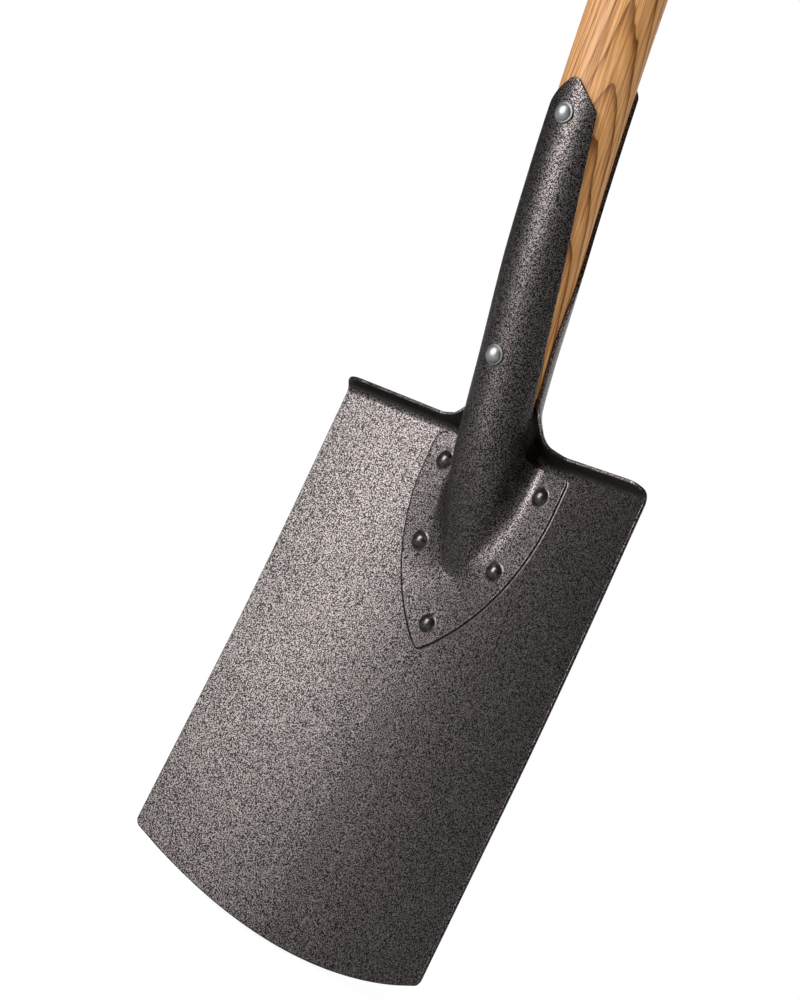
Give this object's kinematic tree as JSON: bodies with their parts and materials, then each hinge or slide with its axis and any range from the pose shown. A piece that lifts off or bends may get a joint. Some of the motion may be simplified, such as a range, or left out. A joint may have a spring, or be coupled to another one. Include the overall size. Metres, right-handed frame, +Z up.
{
  "type": "digging spade",
  "caption": "Digging spade: hollow pressed steel blade with bent treads, two riveted socket straps and a shield plate, on a cranked ash shaft with a wooden crossbar grip.",
  "frame": {"origin": "lowest point of the cutting edge, in the middle of the blade, on the face of its back", "axes": "+Z up the blade towards the grip, X across the blade, -Y out of the blade's hollow front"},
  "size_m": [0.1998, 0.1928, 1.0306],
  "materials": {
    "hammered_enamel": "dark grey-brown hammered enamel on pressed steel",
    "lacquered_ash": "clear-lacquered ash with a lively grain",
    "zinc_plated_steel": "bright zinc plating"
  },
  "bodies": {
    "root": {"blade": "hammered_enamel", "front_strap": "hammered_enamel", "shield_rivet_lower": "hammered_enamel", "shield_rivet_middle_left": "hammered_enamel", "shield_rivet_middle_right": "hammered_enamel", "shield_rivet_upper_left": "hammered_enamel", "shield_rivet_upper_right": "hammered_enamel", "shaft": "lacquered_ash", "grip_crossbar": "lacquered_ash", "grip_wedge": "lacquered_ash", "grip_pin": "zinc_plated_steel", "shaft_rivet_lower": "zinc_plated_steel", "shaft_rivet_upper": "zinc_plated_steel", "rivet_washer_lower": "zinc_plated_steel", "rivet_washer_upper": "zinc_plated_steel"}
  },
  "joints": []
}
